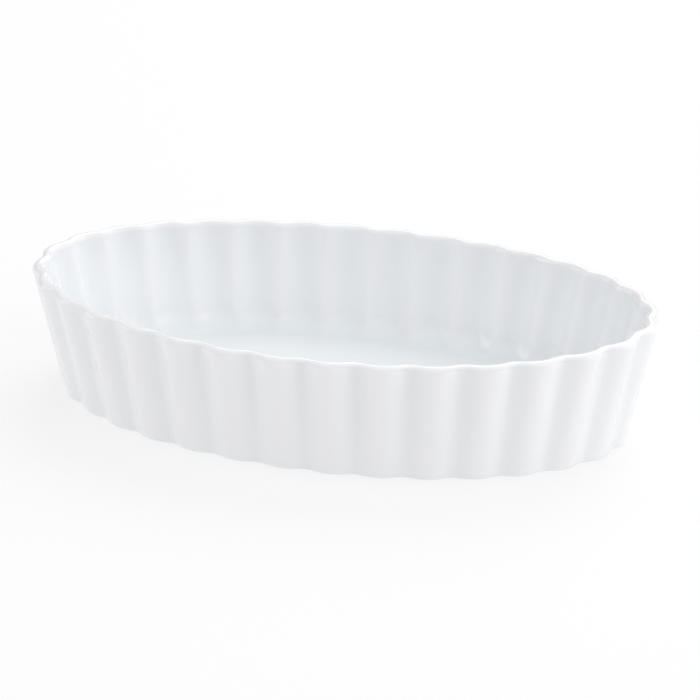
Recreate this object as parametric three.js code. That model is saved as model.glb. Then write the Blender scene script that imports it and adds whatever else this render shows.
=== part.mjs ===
// Oval creme brulee dish in white porcelain: a drafted, fluted wall with a rounded lip that rises to both ends,
// a flat floor with a cove round it, and a low foot ring without glaze. Millimetres, +Z up, standing on z = 0,
// length along X.
import * as THREE from 'three';
import { toCreasedNormals } from 'three/addons/utils/BufferGeometryUtils.js';

// Outside sizes in plan, taken midway between the crests and the grooves of the flutes.
const rimLength = 132;
const rimWidth = 73;
const footLength = 121;
const footWidth = 64.5;

// Heights above the table. The lip is lowest at the middle of the long sides and rises to both ends.
const dishHeight = 25.8;
const endRise = 1;
const floorHeight = 3;
const footHeight = 0.8;

// Sections of the lip, the wall, the cove and the foot.
const lipThickness = 2.6;
const wallThickness = 3;
const coveRadius = 4;
const footRingWidth = 4.4;
const footBevel = 0.4;

// Flutes run from the foot to the lip, inside and out, and soften as the cove meets the floor.
const fluteCount = 32;
const fluteDepth = 0.9;
const innerFluteDepth = 0.75;
const floorFluteDepth = 0.4;

// Grooves are narrower than crests by the wave's second harmonic. The first groove lies this share of a
// pitch past the +X end, and the flutes stand a little closer together at both ends than along the sides.
const grooveSharpness = 0.12;
const grooveShift = 0.245;
const endCrowding = 0.0045;

// Facets in each flute, over the lip and round the cove.
const facetsPerFlute = 8;
const lipFacets = 6;
const coveFacets = 4;
const creaseAngle = THREE.MathUtils.degToRad(32);

const lipRadius = lipThickness / 2;
const lipHeight = dishHeight - lipRadius;
const bevel = Math.min(footBevel, footHeight / 2);

// Share of the rim's length at which a share of the flutes has been passed.
function outlineShare(fluteShare) {
  const passes = 12;
  let share = fluteShare;
  for (let pass = 0; pass < passes; pass += 1) {
    share = fluteShare - endCrowding * Math.sin(4 * Math.PI * share);
  }
  return share - Math.floor(share);
}

// One ellipse angle for each station round the dish, with every groove and crest on a station.
function stationAngles() {
  const outline = new THREE.EllipseCurve(0, 0, rimLength / 2, rimWidth / 2);
  outline.arcLengthDivisions = 4000;
  return Array.from({ length: fluteCount * facetsPerFlute }, (_, station) => {
    const fluteShare = (station / facetsPerFlute + grooveShift) / fluteCount;
    return 2 * Math.PI * outline.getUtoTmapping(outlineShare(fluteShare));
  });
}

const angles = stationAngles();

// The flute's wave at a station: lowest in the groove, highest on the crest, two units from one to the other.
function fluteWave(station) {
  const phase = (2 * Math.PI * station) / facetsPerFlute;
  return -Math.cos(phase) - grooveSharpness * Math.cos(2 * phase);
}

// A closed ring of points at one height, set in from the outside of the wall and waved to a flute depth.
// The wall's draft makes the oval grow with planHeight, up to the lip. From the floor up to the lip, the ring
// also bends upwards at both ends.
function ring(height, inset, depth, planHeight = height) {
  const draft = Math.min(planHeight / lipHeight, 1);
  const climb = THREE.MathUtils.inverseLerp(floorHeight, lipHeight, planHeight);
  const halfLength = THREE.MathUtils.lerp(footLength, rimLength, draft) / 2;
  const halfWidth = THREE.MathUtils.lerp(footWidth, rimWidth, draft) / 2;
  return angles.map((angle, station) => {
    const normal = new THREE.Vector2(Math.cos(angle) / halfLength, Math.sin(angle) / halfWidth).normalize();
    const reach = (depth / 2) * fluteWave(station) - inset;
    const x = halfLength * Math.cos(angle) + normal.x * reach;
    const y = halfWidth * Math.sin(angle) + normal.y * reach;
    const lift = endRise * Math.max(climb, 0) * Math.cos(angle) ** 2;
    return new THREE.Vector3(x, y, height + lift);
  });
}

// A ring on the outside of the wall.
function outerRing(height) {
  return ring(height, 0, fluteDepth);
}

// A ring on the rounded lip, from its outer foot over the top to its inner foot.
function lipRing(step) {
  const share = step / lipFacets;
  const turn = Math.PI * share;
  const depth = THREE.MathUtils.lerp(fluteDepth, innerFluteDepth, share);
  return ring(lipHeight + lipRadius * Math.sin(turn), lipRadius * (1 - Math.cos(turn)), depth, lipHeight);
}

// Thickness of the wall at a height, thinner towards the lip.
function thicknessAt(height) {
  return THREE.MathUtils.mapLinear(height, floorHeight, lipHeight, wallThickness, lipThickness);
}

// A ring on the cove, from the wall's inner face down to the floor.
function coveRing(step) {
  const share = step / coveFacets;
  const turn = (Math.PI / 2) * share;
  const height = floorHeight + coveRadius * (1 - Math.sin(turn));
  const inset = thicknessAt(height) + coveRadius * (1 - Math.cos(turn));
  return ring(height, inset, THREE.MathUtils.lerp(innerFluteDepth, floorFluteDepth, share));
}

// A ring on the upright face of the recess inside the foot.
function recessRing(height) {
  return ring(height, footRingWidth, 0, 0);
}

// Rings numbered 0 to last from one of the functions above.
function ringRun(makeRing, last) {
  return Array.from({ length: last + 1 }, (_, step) => makeRing(step));
}

// Two triangles for each station between two rings, split by either diagonal.
function addBand(corners, from, to, splitBack = false) {
  from.forEach((corner, station) => {
    const next = (station + 1) % from.length;
    corners.push(corner, from[next], splitBack ? to[station] : to[next]);
    corners.push(splitBack ? from[next] : corner, to[next], to[station]);
  });
}

// Triangles from a ring to a point on the axis, facing up or down.
function addCap(corners, rim, facesUp) {
  const centre = new THREE.Vector3(0, 0, rim[0].z);
  rim.forEach((corner, station) => {
    const next = rim[(station + 1) % rim.length];
    corners.push(centre, facesUp ? corner : next, facesUp ? next : corner);
  });
}

// A body that goes right round the dish: its rings follow the section's outline and close on themselves. The
// closing band takes the other diagonal, so that the lip's underside has the same edges as the wall's top.
function loopBody(rings) {
  const corners = [];
  rings.slice(1).forEach((to, step) => addBand(corners, rings[step], to));
  addBand(corners, rings.at(-1), rings[0], true);
  return corners;
}

// A body with a flat underside and top: its rings run from the underside's edge up to the top's edge.
function plateBody(rings) {
  const corners = [];
  addCap(corners, rings[0], false);
  rings.slice(1).forEach((to, step) => addBand(corners, rings[step], to));
  addCap(corners, rings.at(-1), true);
  return corners;
}

// A named mesh from its triangles' corners, shaded smooth over the flutes and sharp at the edges.
function piece(name, corners, look) {
  const geometry = new THREE.BufferGeometry().setFromPoints(corners);
  const mesh = new THREE.Mesh(toCreasedNormals(geometry, creaseAngle), new THREE.MeshStandardMaterial(look));
  mesh.name = name;
  return mesh;
}

const glazedPorcelain = { color: 0xf0f1f3, roughness: 0.12, metalness: 0 };
const barePorcelain = { color: 0xe9e6df, roughness: 0.75, metalness: 0 };

// The lip sits on the wall's top.
const rimLip = piece('rim_lip', loopBody(ringRun(lipRing, lipFacets)), glazedPorcelain);

// The wall stands on the floor plate's edge and ends in the cove inside.
const flutedWall = piece(
  'fluted_wall',
  loopBody([outerRing(floorHeight), outerRing(lipHeight), lipRing(lipFacets), ...ringRun(coveRing, coveFacets)]),
  glazedPorcelain,
);

// The floor plate reaches the outside of the dish and roofs the recess.
const floorPlate = piece(
  'floor_plate',
  plateBody([recessRing(footHeight), outerRing(footHeight), outerRing(floorHeight), coveRing(coveFacets)]),
  glazedPorcelain,
);

// The foot ring carries the dish, with a bevel where it meets the table.
const footRing = piece(
  'foot_ring',
  loopBody([
    ring(0, bevel, fluteDepth),
    outerRing(bevel),
    outerRing(footHeight),
    recessRing(footHeight),
    recessRing(0),
  ]),
  barePorcelain,
);

const dish = new THREE.Group();
dish.add(rimLip, flutedWall, floorPlate, footRing);

export default dish;
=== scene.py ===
# Oval creme brulee dish in white glazed porcelain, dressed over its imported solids, on a lit white table.
import math

import bpy
import numpy as np
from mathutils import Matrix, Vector


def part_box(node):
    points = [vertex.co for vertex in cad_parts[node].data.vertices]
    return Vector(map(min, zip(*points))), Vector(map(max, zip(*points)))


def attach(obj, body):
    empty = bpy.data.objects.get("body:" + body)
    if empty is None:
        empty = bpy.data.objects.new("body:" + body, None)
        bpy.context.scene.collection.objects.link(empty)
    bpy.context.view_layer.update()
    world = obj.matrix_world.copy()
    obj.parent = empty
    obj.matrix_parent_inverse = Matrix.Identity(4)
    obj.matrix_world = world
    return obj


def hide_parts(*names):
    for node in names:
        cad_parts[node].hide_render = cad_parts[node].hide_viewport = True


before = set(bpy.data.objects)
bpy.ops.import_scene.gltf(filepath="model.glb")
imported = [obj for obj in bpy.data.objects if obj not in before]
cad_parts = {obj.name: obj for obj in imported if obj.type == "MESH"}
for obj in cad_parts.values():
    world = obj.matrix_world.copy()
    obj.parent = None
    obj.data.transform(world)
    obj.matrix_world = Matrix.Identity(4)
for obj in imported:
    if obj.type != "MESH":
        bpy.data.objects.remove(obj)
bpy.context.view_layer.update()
mm = 0.001
sizeMargin = 0.02 * mm     # keeps the dressed dish inside the box of its solids
print("frame loaded:", ", ".join(sorted(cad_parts)))


# sRGB hex to linear, the one way colours come into this script
def hexColour(code):
    srgb = np.array([int(code[i:i + 2], 16) for i in (1, 3, 5)]) / 255
    linear = np.where(srgb <= 0.04045, srgb / 12.92, ((srgb + 0.055) / 1.055) ** 2.4)
    return (*linear.tolist(), 1.0)


# a node with its settings, the values of its inputs and the links into them
def addNode(tree, kind, settings=None, values=None, links=None):
    node = tree.nodes.new(kind)
    for key, value in (settings or {}).items():
        setattr(node, key, value)
    for socket, value in (values or {}).items():
        node.inputs[socket].default_value = value
    for socket, source in (links or {}).items():
        tree.links.new(source, node.inputs[socket])
    return node


# an empty material and its node tree
def newMaterial(name):
    material = bpy.data.materials.new(name)
    material.use_nodes = True
    material.node_tree.nodes.clear()
    return material, material.node_tree


# A closed mesh from rows of points that run round the dish. Quads join each row to the next and each station
# to its neighbour; a fan closes a pole at both ends, or else the last row joins the first.
def meshFromRows(name, rows, poles=None):
    rowCount, stationCount = rows.shape[:2]
    bands = rowCount if poles is None else rowCount - 1
    row, station = np.meshgrid(np.arange(bands), np.arange(stationCount), indexing="ij")
    nextRow, nextStation = (row + 1) % rowCount, (station + 1) % stationCount
    corners = [row * stationCount + station, row * stationCount + nextStation,
               nextRow * stationCount + nextStation, nextRow * stationCount + station]
    faces = np.stack(corners, axis=-1).reshape(-1, 4).tolist()
    points = rows.reshape(-1, 3)
    if poles is not None:
        here = np.arange(stationCount)
        ahead = (here + 1) % stationCount
        firstPole, lastPole = len(points), len(points) + 1
        lastRow = (rowCount - 1) * stationCount
        firstFan = [np.full(stationCount, firstPole), ahead, here]
        lastFan = [np.full(stationCount, lastPole), lastRow + here, lastRow + ahead]
        for fan in (firstFan, lastFan):
            faces += np.stack(fan, axis=-1).tolist()
        points = np.vstack([points, poles])
    mesh = bpy.data.meshes.new(name)
    mesh.from_pydata(points, [], faces)
    mesh.polygons.foreach_set("use_smooth", np.ones(len(mesh.polygons), dtype=bool))
    mesh.update()
    piece = bpy.data.objects.new(name, mesh)
    bpy.context.scene.collection.objects.link(piece)
    return piece


# Stations round the dish

flutes = {
    "count": 32,
    "firstGroove": 0.245,      # pitches past the +X end
    "endCrowding": 0.0045,     # flutes stand a little closer together at both ends
    "sharpness": 0.12,         # grooves are narrower than crests
    "edgeDepth": 0.9 * mm,     # groove to crest along the lip and the foot
    "wallDepth": 1.7 * mm,     # outside, just under the lip
    "innerDepth": 1.3 * mm,
    "floorDepth": 0.3 * mm,    # what is left where the cove meets the floor
    "hollowShadeShare": 0.5,         # how much glaze gathers in the hollows, darkening them as painted shade
    "stations": 24,            # facets in each flute
}

phase = 2 * np.pi * np.arange(flutes["count"] * flutes["stations"]) / flutes["stations"]
# lowest in the groove, highest on the crest, two units from one to the other
wave = -np.cos(phase) - flutes["sharpness"] * np.cos(2 * phase)
crestWave = 1 - flutes["sharpness"]


# Ellipse angle of each station: flutes are shared out along the oval's length, crowded by a sine of twice
# the turn, and the share of length is read back as an angle.
def stationAngles(halfLength, halfWidth, fineSteps=8000, passes=12):
    fineAngle = np.linspace(0, 2 * np.pi, fineSteps + 1)
    steps = np.hypot(halfLength * np.diff(np.cos(fineAngle)), halfWidth * np.diff(np.sin(fineAngle)))
    run = np.concatenate([[0], np.cumsum(steps)])
    fluteShare = (phase / (2 * np.pi) + flutes["firstGroove"]) / flutes["count"]
    share = fluteShare
    for _ in range(passes):
        share = fluteShare - flutes["endCrowding"] * np.sin(4 * np.pi * share)
    return np.interp(share % 1, run / run[-1], fineAngle)


# Points of ovals at the stations, each moved along the oval's normal by its own reach.
def ovalPoints(halfLength, halfWidth, angles, reach):
    normalX, normalY = np.cos(angles) / halfLength, np.sin(angles) / halfWidth
    size = np.hypot(normalX, normalY)
    x = halfLength * np.cos(angles) + normalX / size * reach
    y = halfWidth * np.sin(angles) + normalY / size * reach
    return x, y


# Half axes, midway between crests and grooves, of the fluted oval that just fills a node's box.
def ovalOf(node, passes=6):
    low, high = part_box(node)
    room = np.array([high.x - low.x, high.y - low.y]) / 2 - sizeMargin
    oval = room - flutes["edgeDepth"] / 2
    for _ in range(passes):
        ring = ovalPoints(*oval, stationAngles(*oval), flutes["edgeDepth"] / 2 * wave)
        oval = oval + room - np.abs(ring).max(axis=1)
    return oval


rimOval, footOval = ovalOf("rim_lip"), ovalOf("foot_ring")
angles = stationAngles(*rimOval)
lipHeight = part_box("rim_lip")[0].z              # where the lip starts, middle of the long sides
floorHeight, endHeight = [corner.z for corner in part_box("fluted_wall")]
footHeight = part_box("foot_ring")[1].z
endRise = endHeight - lipHeight - sizeMargin    # how much higher the lip is at both ends
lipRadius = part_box("rim_lip")[1].z - endHeight
print("rim oval", np.round(2 * rimOval / mm, 2), "foot oval", np.round(2 * footOval / mm, 2), "mm")


# One run of rows, each with its height, inset from the outside, flute depth, the height that sets its oval
# by the wall's draft, a shrink towards the axis, how far glaze pools there with its painted shade, and the
# side that the flutes are hollow on: 1 where glaze and painted shade run into the grooves outside, -1 where
# they run into the backs of the crests inside.
def rowRun(height, inset, depth, planHeight=None, shrink=1.0, poolShade=0.0, hollow=1.0):
    columns = (height, inset, depth, height if planHeight is None else planHeight, shrink, poolShade, hollow)
    return np.stack(np.broadcast_arrays(*[np.atleast_1d(column) for column in columns]))


# Points of a run of rows. The oval grows from foot to rim with the plan height, flutes and inset move each
# point along the oval's normal, and between floor and lip the rows lift to both ends by the square of the
# angle's cosine.
def skinRows(run):
    height, inset, depth, planHeight, shrink = [column[:, None] for column in run[:5]]
    draft = np.minimum((planHeight - footHeight) / (lipHeight - footHeight), 1)
    halfLength = footOval[0] + (rimOval[0] - footOval[0]) * draft
    halfWidth = footOval[1] + (rimOval[1] - footOval[1]) * draft
    x, y = ovalPoints(halfLength, halfWidth, angles, depth / 2 * wave - inset)
    climb = np.clip((planHeight - floorHeight) / (lipHeight - floorHeight), 0, 1)
    z = height + endRise * climb * np.cos(angles) ** 2
    return np.stack([x * shrink, y * shrink, z], axis=-1)


# Glaze thickness and painted shade at each point of a run: its own pool, and more where glaze runs into a
# hollow, by how deep the wave is there, so the hollows come out darker as painted shade.
def poolAndShade(run):
    depth, poolShade, hollow = run[2][:, None], run[5][:, None], run[6][:, None]
    hollowShare = (1 - hollow * (wave + flutes["sharpness"])) / 2 * depth / flutes["wallDepth"]
    return np.clip(poolShade + flutes["hollowShadeShare"] * hollowShare, 0, 1)


# Glazed dish: one skin from under the floor, out over the glaze's rolled lower edge, up the fluted wall,
# over the lip, down the inside and round the cove to the middle of the floor

dish = {
    "wallThickness": 3.0 * mm,     # at the floor, thinning to the lip's own
    "coveRadius": 4.0 * mm,
    "footWidth": 4.4 * mm,         # standing ring, from the outside to the recess
    "glazeRoll": 0.35 * mm,        # radius of the glaze's lower edge
    "glazeStop": 0.12 * mm,        # height above the table where the glaze ends
    "growHeight": 22.0 * mm,       # over which the grooves outside deepen from the foot upwards
    "ledgeRise": 1.0 * mm,         # above the lip's start, where the lip stops overhanging the grooves
    "ledgeHeight": 0.8 * mm,       # of that overhang
    "innerEase": 1.6 * mm,         # below the lip, where the flutes inside reach their full depth
    "sagHeight": 2.0 * mm,         # above the glaze's lower edge, where it is thicker
    "fluteEnd": 0.9,               # share of the floor at which the last of the flutes is gone
    "floorRows": (0.985, 0.965, 0.94, 0.9, 0.82, 0.7, 0.5, 0.3, 0.12),     # shares of the floor's edge
    "recessStart": 0.06,           # share of the recess's edge where its first row lies
}

# glaze thickness and painted shade where they differ from the wall's, from 0 for thin to 1 for thick and
# dark
glazeAndShade = {
    "recess": 0.2,
    "recessEdge": 0.5,
    "lowerEdge": 0.3,
    "lip": -0.4,      # runs off the lip
    # the floor and the cove come out darker as painted shade
    "floor": 0.8,
    "floorEdge": 1.0,
}

# rows of points over each stretch of the section
rowCounts = {
    "recess": 9,
    "recessEdge": 4,
    "lowerEdge": 6,
    "outside": 29,
    "lip": 30,
    "inside": 21,
    "cove": 12,
    "footEdge": 5,
}


# wall thickness, straight from the floor's to the lip's own
def thicknessAt(height):
    share = (height - floorHeight) / (lipHeight - floorHeight)
    return dish["wallThickness"] + (2 * lipRadius - dish["wallThickness"]) * share


# 0 to 1 along a cubic that starts and ends level
def smoothStep(share):
    share = np.clip(share, 0, 1)
    return share * share * (3 - 2 * share)


# a number of even steps from one value to another, without the first value
def stepsTo(first, last, count):
    return np.linspace(first, last, count + 1)[1:]


# Ceiling of the recess from the middle out, a fillet down to the glaze's inner edge, the hidden seat of the
# bare foot, and the quarter round of the glaze's lower edge outside.
def undersideRuns():
    ring, roll, stop = dish["footWidth"], dish["glazeRoll"], dish["glazeStop"]
    shrink = np.linspace(dish["recessStart"], 1, rowCounts["recess"])
    ceiling = rowRun(footHeight, ring + roll, 0, 0, shrink, glazeAndShade["recess"])
    turn = stepsTo(0, np.pi / 2, rowCounts["recessEdge"])
    drop = (footHeight - stop) * (1 - np.cos(turn))
    fillet = rowRun(footHeight - drop, ring + roll * (1 - 2 * np.sin(turn)), 0, 0, poolShade=glazeAndShade["recessEdge"])
    seat = rowRun(footHeight, [ring - 2 * roll, ring / 2, 2 * roll], [0, 0, flutes["edgeDepth"]], 0)
    turn = np.linspace(-np.pi / 2, 0, rowCounts["lowerEdge"])
    edge = rowRun(stop + roll * (1 + np.sin(turn)), roll * (1 - np.cos(turn)), flutes["edgeDepth"],
                  stop + roll, poolShade=glazeAndShade["lowerEdge"])
    return [ceiling, fillet, seat, edge]


# Outside of the wall, and a half circle over the lip. The grooves deepen from the foot upwards and end in a
# ledge on the lip's outer side, both by a smooth step of the height, with the crests kept in line.
def outsideRuns():
    edge, extra = flutes["edgeDepth"], flutes["wallDepth"] - flutes["edgeDepth"]
    bottom = dish["glazeStop"] + dish["glazeRoll"]
    ledgeTop = lipHeight + dish["ledgeRise"]
    height = stepsTo(bottom, lipHeight, rowCounts["outside"])
    deeper = extra * smoothStep((height - bottom) / dish["growHeight"])
    sag = glazeAndShade["lowerEdge"] * (1 - smoothStep((height - bottom) / dish["sagHeight"]))
    wall = rowRun(height, deeper / 2 * crestWave, edge + deeper, poolShade=sag)
    turn = stepsTo(0, np.pi, rowCounts["lip"])
    height = lipHeight + lipRadius * np.sin(turn)
    deeper = extra * smoothStep((ledgeTop - height) / dish["ledgeHeight"]) * (turn < np.pi / 2)
    bead = rowRun(height, lipRadius * (1 - np.cos(turn)) + deeper / 2 * crestWave, edge + deeper, lipHeight,
                  poolShade=glazeAndShade["lip"] * np.sin(turn), hollow=np.cos(turn))
    return [wall, bead]


# Inside of the wall, the quarter round of the cove and the floor, where the flutes die away.
def insideRuns():
    inner, last, cove = flutes["innerDepth"], flutes["floorDepth"], dish["coveRadius"]
    height = stepsTo(lipHeight, floorHeight + cove, rowCounts["inside"])
    eased = smoothStep((lipHeight - height) / dish["innerEase"])
    depth = flutes["edgeDepth"] + (inner - flutes["edgeDepth"]) * eased
    wall = rowRun(height, thicknessAt(height), depth, hollow=-1)
    turn = stepsTo(0, np.pi / 2, rowCounts["cove"])
    share = turn / (np.pi / 2)
    height = floorHeight + cove * (1 - np.sin(turn))
    corner = rowRun(height, thicknessAt(height) + cove * (1 - np.cos(turn)), inner + (last - inner) * share,
                    poolShade=glazeAndShade["floorEdge"] * smoothStep(share), hollow=-1)
    shrink = np.array(dish["floorRows"])
    fade = np.clip((shrink - dish["fluteEnd"]) / (1 - dish["fluteEnd"]), 0, 1)
    plain = rowRun(floorHeight, thicknessAt(floorHeight) + cove, last * fade, shrink=shrink,
                   poolShade=glazeAndShade["floor"] + (glazeAndShade["floorEdge"] - glazeAndShade["floor"]) * fade, hollow=-1)
    return [wall, corner, plain]


dishRun = np.concatenate(undersideRuns() + outsideRuns() + insideRuns(), axis=1)
dishPoles = np.array([[0, 0, footHeight], [0, 0, floorHeight]])
glazedDish = meshFromRows("glazedDish", skinRows(dishRun), dishPoles)
dishShade = np.append(poolAndShade(dishRun), [glazeAndShade["recess"], glazeAndShade["floor"]])     # the two poles come last
# glaze pool with painted shade in the grooves and the cove, kept at each point
glazedDish.data.attributes.new("poolAndShade", "FLOAT", "POINT").data.foreach_set("value", dishShade)
print("glazed dish:", len(glazedDish.data.polygons), "faces")


# Bare foot: the standing ring, wiped free of glaze, rounded where it meets the table

foot = {
    "setIn": 0.2 * mm,     # behind the glaze's rolled edges
    "bevel": 0.4 * mm,
}


# Section of the ring: a quarter round inside, the flat it stands on, a quarter round outside, a hidden top.
def bareFootRun():
    outer, inner = foot["setIn"], dish["footWidth"] - foot["setIn"]
    bevel, depth = foot["bevel"], flutes["edgeDepth"]
    turn = np.linspace(0, np.pi / 2, rowCounts["footEdge"])
    insideEdge = rowRun(bevel * (1 - np.sin(turn)), inner - bevel * (1 - np.cos(turn)), 0, 0)
    outsideEdge = rowRun(bevel * (1 - np.cos(turn)), outer + bevel * (1 - np.sin(turn)), depth, 0)
    top = rowRun(footHeight, [outer, inner], [depth, 0], 0)
    return np.concatenate([insideEdge, outsideEdge, top], axis=1)


bareFoot = meshFromRows("bareFoot", skinRows(bareFootRun()))
print("bare foot:", len(bareFoot.data.polygons), "faces")


# Materials

glaze = {
    "thin": "#f5f5f7",             # over the lip and the crests
    "pooledAndShaded": "#eff4f6",           # in grooves and in the cove, cooler through the thicker glass and darker as painted shade
    "cloudSize": 16 * mm,
    "cloudDetail": 3,
    "cloudShare": 0.16,            # how far clouds in the glaze shift its tone
    "rippleSize": 2.6 * mm,
    "rippleDetail": 1,
    "rippleHeight": 0.0015 * mm,
    "roughness": (0.07, 0.12),
    "ior": 1.5,
}


# Clear glaze fired to a gloss over white porcelain: a hard bright reflection with a faint ripple over a
# milky white that turns cooler where the glaze is thick, and darker there as painted shade in the grooves
# and the cove.
def clearGlaze():
    material, tree = newMaterial("porcelain_clear_glaze_fired_gloss")
    place = addNode(tree, "ShaderNodeTexCoord").outputs["Object"]
    # thick glaze with painted shade in the grooves and the cove
    poolShadeFactor = addNode(tree, "ShaderNodeAttribute", {"attribute_name": "poolAndShade"}).outputs["Fac"]
    cloud = addNode(tree, "ShaderNodeTexNoise",
                    values={"Scale": 1 / glaze["cloudSize"], "Detail": glaze["cloudDetail"]},
                    links={"Vector": place}).outputs["Fac"]
    drift = addNode(tree, "ShaderNodeMapRange",
                    values={"To Min": -glaze["cloudShare"], "To Max": glaze["cloudShare"]},
                    links={"Value": cloud}).outputs["Result"]
    tint = addNode(tree, "ShaderNodeMath", {"operation": "ADD", "use_clamp": True},
                   links={0: poolShadeFactor, 1: drift})
    colour = addNode(tree, "ShaderNodeMix", {"data_type": "RGBA"},
                     values={"A": hexColour(glaze["thin"]), "B": hexColour(glaze["pooledAndShaded"])},
                     links={"Factor": tint.outputs["Value"]}).outputs["Result"]
    ripple = addNode(tree, "ShaderNodeTexNoise",
                     values={"Scale": 1 / glaze["rippleSize"], "Detail": glaze["rippleDetail"]},
                     links={"Vector": place}).outputs["Fac"]
    low, high = glaze["roughness"]
    gloss = addNode(tree, "ShaderNodeMapRange", values={"To Min": low, "To Max": high},
                    links={"Value": ripple}).outputs["Result"]
    bump = addNode(tree, "ShaderNodeBump", values={"Strength": 1, "Distance": glaze["rippleHeight"]},
                   links={"Height": ripple}).outputs["Normal"]
    shader = addNode(tree, "ShaderNodeBsdfPrincipled", values={"IOR": glaze["ior"]},
                     links={"Base Color": colour, "Roughness": gloss, "Normal": bump})
    addNode(tree, "ShaderNodeOutputMaterial", links={"Surface": shader.outputs["BSDF"]})
    return material


biscuit = {
    "clean": "#dcdad6",
    "wornAndShaded": "#c0bdb8",           # darker where it stands on the table, from wear and as painted contact shade
    "shadeHeight": 0.12 * mm,
    "shadeShare": 0.9,
    "grainSize": 0.9 * mm,         # real grain is near 0.1 mm, drawn coarser so that a close view shows it
    "grainDetail": 4,
    "grainHeight": 0.02 * mm,
    "roughness": 0.75,
    "ior": 1.5,
}


# Porcelain wiped bare before firing: dry and matte with a fine grain, a little warmer than the glaze, and
# darker where it stands on the table, partly greyed by wear and partly painted contact shade.
def wipedBiscuit():
    material, tree = newMaterial("porcelain_bare_wiped_matte")
    place = addNode(tree, "ShaderNodeTexCoord").outputs["Object"]
    grain = addNode(tree, "ShaderNodeTexNoise",
                    values={"Scale": 1 / biscuit["grainSize"], "Detail": biscuit["grainDetail"]},
                    links={"Vector": place}).outputs["Fac"]
    height = addNode(tree, "ShaderNodeSeparateXYZ", links={"Vector": place}).outputs["Z"]
    # painted contact shade and wear, darkest at the table
    contact = addNode(tree, "ShaderNodeMapRange",
                      values={"From Min": biscuit["shadeHeight"], "From Max": 0,
                              "To Max": biscuit["shadeShare"]},
                      links={"Value": height}).outputs["Result"]
    wornShade = addNode(tree, "ShaderNodeMath", {"operation": "MULTIPLY"}, links={0: contact, 1: grain})
    colour = addNode(tree, "ShaderNodeMix", {"data_type": "RGBA"},
                     values={"A": hexColour(biscuit["clean"]), "B": hexColour(biscuit["wornAndShaded"])},
                     links={"Factor": wornShade.outputs["Value"]}).outputs["Result"]
    bump = addNode(tree, "ShaderNodeBump", values={"Strength": 1, "Distance": biscuit["grainHeight"]},
                   links={"Height": grain}).outputs["Normal"]
    shader = addNode(tree, "ShaderNodeBsdfPrincipled",
                     values={"Roughness": biscuit["roughness"], "IOR": biscuit["ior"]},
                     links={"Base Color": colour, "Normal": bump})
    addNode(tree, "ShaderNodeOutputMaterial", links={"Surface": shader.outputs["BSDF"]})
    return material


glazedDish.data.materials.append(clearGlaze())
bareFoot.data.materials.append(wipedBiscuit())

for piece, slot, nodes in ((glazedDish, "glazed_porcelain", ("rim_lip", "fluted_wall", "floor_plate")),
                           (bareFoot, "bare_porcelain", ("foot_ring",))):
    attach(piece, "root")
    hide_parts(*nodes)
print("materials set")


# Studio: a table, a soft dome of light and softboxes

studio = {
    "tableSize": 8.0,           # metres
    "tableDrop": 0.05 * mm,     # a hair below the foot, so that no two faces share a plane
    "table": "#9c9c9c",
    "tableRoughness": 0.9,
    "tableGlow": 0.62,
    "dome": "#ffffff",
    "domeStrength": 0.28,
    "softboxDistance": 1.2,     # metres
}

# soft discs: azimuth from -Y towards +X and elevation in degrees, size in metres, power in watts
softboxes = [
    {"name": "keyRight", "azimuth": 84, "elevation": 27, "size": 0.95, "power": 3.0},
    {"name": "edgeRight", "azimuth": 112, "elevation": 24, "size": 0.9, "power": 2.1},
    {"name": "overhead", "azimuth": 18, "elevation": 58, "size": 2.3, "power": 9.0},
    {"name": "back", "azimuth": 173, "elevation": 46, "size": 1.2, "power": 6.9},
    {"name": "fillLeft", "azimuth": 280, "elevation": 22, "size": 0.87, "power": 3.3},
]

half, tableTop = studio["tableSize"] / 2, -studio["tableDrop"]
tableCorners = [(-half, -half, tableTop), (half, -half, tableTop),
                (half, half, tableTop), (-half, half, tableTop)]
tableMesh = bpy.data.meshes.new("table")
tableMesh.from_pydata(tableCorners, [], [(0, 1, 2, 3)])
table = bpy.data.objects.new("table", tableMesh)
bpy.context.scene.collection.objects.link(table)

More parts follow.
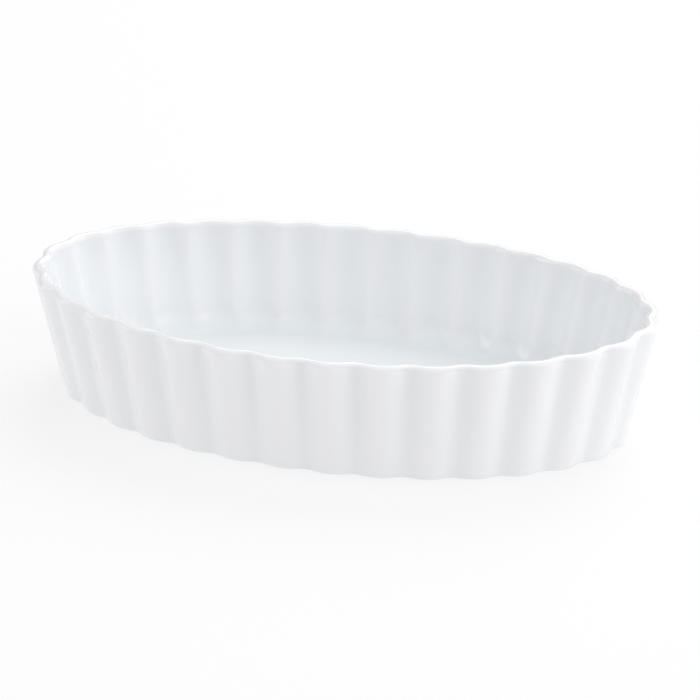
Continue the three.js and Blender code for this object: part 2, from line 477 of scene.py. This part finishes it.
# Frosted white acrylic lit from below: an even white that keeps the shadow faint.
material, tree = newMaterial("acrylic_table_frosted_lit_from_below")
shader = addNode(tree, "ShaderNodeBsdfPrincipled",
                 values={"Base Color": hexColour(studio["table"]), "Roughness": studio["tableRoughness"],
                         "Emission Color": hexColour(studio["dome"]),
                         "Emission Strength": studio["tableGlow"]})
addNode(tree, "ShaderNodeOutputMaterial", links={"Surface": shader.outputs["BSDF"]})
tableMesh.materials.append(material)

world = bpy.data.worlds.new("studio")
world.use_nodes = True
bpy.context.scene.world = world
background = world.node_tree.nodes["Background"]
background.inputs["Color"].default_value = hexColour(studio["dome"])
background.inputs["Strength"].default_value = studio["domeStrength"]


# direction from the dish by azimuth, degrees from -Y towards +X, and elevation
def towards(azimuth, elevation):
    turn, lift = math.radians(azimuth), math.radians(elevation)
    return Vector((math.sin(turn) * math.cos(lift), -math.cos(turn) * math.cos(lift), math.sin(lift)))


for box in softboxes:
    light = bpy.data.lights.new(box["name"], "AREA")
    light.shape = "DISK"
    light.size = box["size"]
    light.energy = box["power"]
    lamp = bpy.data.objects.new(box["name"], light)
    direction = towards(box["azimuth"], box["elevation"])
    lamp.location = direction * studio["softboxDistance"]
    lamp.rotation_euler = direction.to_track_quat("Z", "Y").to_euler()
    lamp.visible_camera = False
    bpy.context.scene.collection.objects.link(lamp)
print("studio lit by", len(softboxes), "softboxes")


# Camera, square frame

view = {
    "azimuth": 16.79,          # degrees from -Y towards +X
    "elevation": 25.48,
    "distance": 541.2 * mm,
    "aim": (2.01 * mm, 0.6 * mm, 12.07 * mm),
    "lens": 132.78,            # millimetres, as the sensor
    "sensor": 36,
    "nearest": 10 * mm,
}

cameraData = bpy.data.cameras.new("camera")
cameraData.lens = view["lens"]
cameraData.sensor_width = view["sensor"]
cameraData.clip_start = view["nearest"]
camera = bpy.data.objects.new("camera", cameraData)
camera.location = view["distance"] * towards(view["azimuth"], view["elevation"])
camera.rotation_euler = (Vector(view["aim"]) - camera.location).to_track_quat("-Z", "Y").to_euler()
bpy.context.scene.collection.objects.link(camera)
bpy.context.scene.camera = camera
bpy.context.scene.view_settings.view_transform = "Standard"
print("camera placed")
